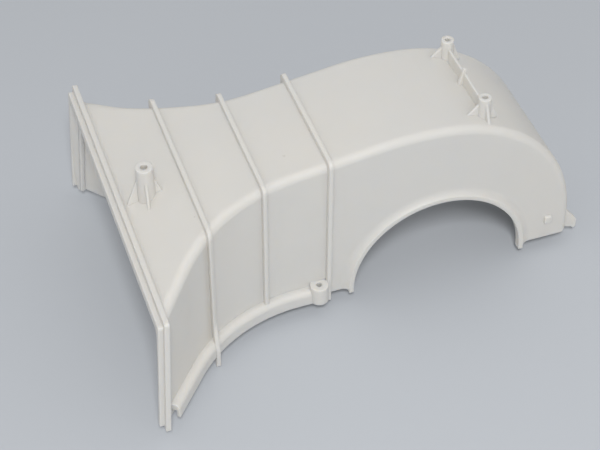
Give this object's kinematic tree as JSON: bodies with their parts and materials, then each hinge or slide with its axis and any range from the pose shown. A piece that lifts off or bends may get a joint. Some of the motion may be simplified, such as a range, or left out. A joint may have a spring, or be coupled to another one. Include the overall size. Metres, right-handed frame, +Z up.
{
  "type": "blower housing half",
  "caption": "Moulded plastic half of a blower housing: scroll with side inlets, a flared duct with ribs, a lipped mouth and screw bosses.",
  "frame": {"origin": "the fan axis at the middle of the housing, in the parting plane", "axes": "+X along the housing from the mouth to the scroll's end, +Y along the fan axis, +Z up from the open parting plane to the roof"},
  "size_m": [0.2225, 0.1668, 0.0958],
  "materials": {
    "housing_plastic": "satin moulded"
  },
  "bodies": {
    "root": {"blower_housing_half": "housing_plastic"}
  },
  "joints": []
}
